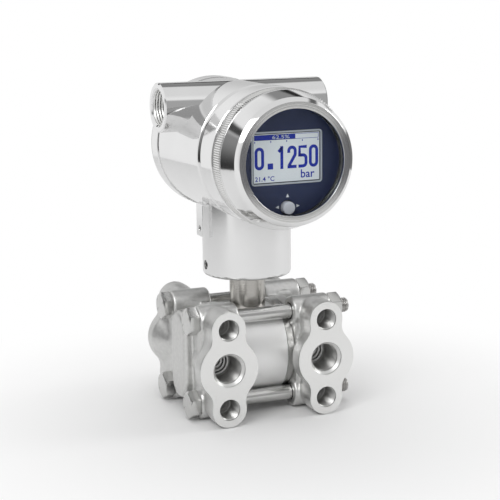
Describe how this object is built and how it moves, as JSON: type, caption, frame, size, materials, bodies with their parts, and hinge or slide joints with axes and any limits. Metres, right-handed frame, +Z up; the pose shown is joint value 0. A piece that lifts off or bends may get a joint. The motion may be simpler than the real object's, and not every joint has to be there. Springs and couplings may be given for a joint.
{
  "type": "differential pressure transmitter",
  "caption": "Differential pressure transmitter with a measuring cell clamped between cast process flanges and a swivelling polished head with a screwed window cover and display.",
  "frame": {"origin": "middle of the four tapped holes of the front process faces, in the plane of those faces", "axes": "+X from the low pressure flange to the high pressure flange, +Y from the front process faces to the back, +Z up along the neck; the display faces -Y"},
  "size_m": [0.0929, 0.1159, 0.1715],
  "materials": {
    "cast_stainless": "satin investment casting with machined faces",
    "turned_stainless": "fine turned",
    "polished_stainless": "mirror polished",
    "fastener_steel": "satin",
    "diaphragm_steel": "bright",
    "seal_rubber": "matt black",
    "window_glass": "clear",
    "panel_film": "dark navy, satin",
    "frame_plastic": "light grey",
    "lcd_glass": "pale blue grey with blue figures",
    "backlight_plastic": "white",
    "button_plastic": "grey",
    "module_plastic": "black",
    "board_laminate": "green",
    "terminal_plastic": "green",
    "terminal_brass": "plated",
    "header_ceramic": "sealed feedthrough"
  },
  "bodies": {
    "measuring_cell": {"process_flange_left": "cast_stainless", "process_flange_right": "cast_stainless", "cell_body": "turned_stainless", "cell_end_ring_left": "turned_stainless", "cell_end_ring_right": "turned_stainless", "isolating_diaphragm_left": "diaphragm_steel", "isolating_diaphragm_right": "diaphragm_steel", "flange_seal_left": "seal_rubber", "flange_seal_right": "seal_rubber", "flange_bolts": "fastener_steel", "flange_nuts": "fastener_steel", "vent_plug_left": "fastener_steel", "vent_plug_right": "fastener_steel", "sensor_header": "header_ceramic", "neck_stem": "turned_stainless", "stem_seal": "seal_rubber", "stem_retaining_ring": "fastener_steel"},
    "head": {"electronics_housing": "polished_stainless", "rear_cap": "polished_stainless", "rear_cap_seal": "seal_rubber", "neck_grub_screw": "fastener_steel", "cover_lock_screw": "fastener_steel", "side_plate": "turned_stainless", "side_plate_screw": "fastener_steel", "terminal_plate": "module_plastic", "terminal_block": "terminal_plastic", "terminal_screws": "terminal_brass", "rear_spacers": "terminal_brass", "main_board": "board_laminate", "front_spacers": "terminal_brass", "display_housing": "module_plastic", "display_board": "board_laminate", "lcd_carrier": "module_plastic", "lcd_backlight": "backlight_plastic", "lcd_display": "lcd_glass", "lcd_frame": "frame_plastic", "display_panel": "panel_film", "joystick_base": "module_plastic"},
    "seal_carrier": {"cover_seal": "seal_rubber"},
    "window_cover": {"cover_ring": "polished_stainless", "window_gasket": "seal_rubber", "window_glass": "window_glass", "glass_retaining_ring": "fastener_steel"},
    "button_gimbal": {"joystick_gimbal": "module_plastic"},
    "button_stem": {"joystick_stem": "module_plastic"},
    "button_cap": {"navigation_button": "button_plastic"}
  },
  "joints": [
    {"name": "head_swivel", "type": "hinge", "parent": "measuring_cell", "child": "head", "pos_m": [0, 0.04045, 0.0404], "axis": [0, 0, 1], "range_deg": [-170, 170]},
    {"name": "cover_travel", "type": "slide", "parent": "head", "child": "seal_carrier", "axis": [0, -1, 0], "range_m": [0, 0.0079]},
    {"name": "cover_turn", "type": "hinge", "parent": "seal_carrier", "child": "window_cover", "pos_m": [0, 0, 0.1058], "axis": [0, -1, 0], "range_deg": [0, 1890]},
    {"name": "button_tilt_side", "type": "hinge", "parent": "head", "child": "button_gimbal", "pos_m": [0, -0.0076, 0.0826], "axis": [0, 0, 1], "range_deg": [-4, 4], "stiffness_Nm_per_rad": 0.05},
    {"name": "button_tilt_up", "type": "hinge", "parent": "button_gimbal", "child": "button_stem", "pos_m": [0, -0.0076, 0.0826], "axis": [-1, 0, 0], "range_deg": [0, 4], "stiffness_Nm_per_rad": 0.05},
    {"name": "button_press", "type": "slide", "parent": "button_stem", "child": "button_cap", "axis": [0, 1, 0], "range_m": [0, 0.0005], "stiffness_N_per_m": 2000}
  ],
  "couplings": [
    {"joint": "cover_travel", "follows": "cover_turn", "m_per_rad": 0.00023873}
  ]
}
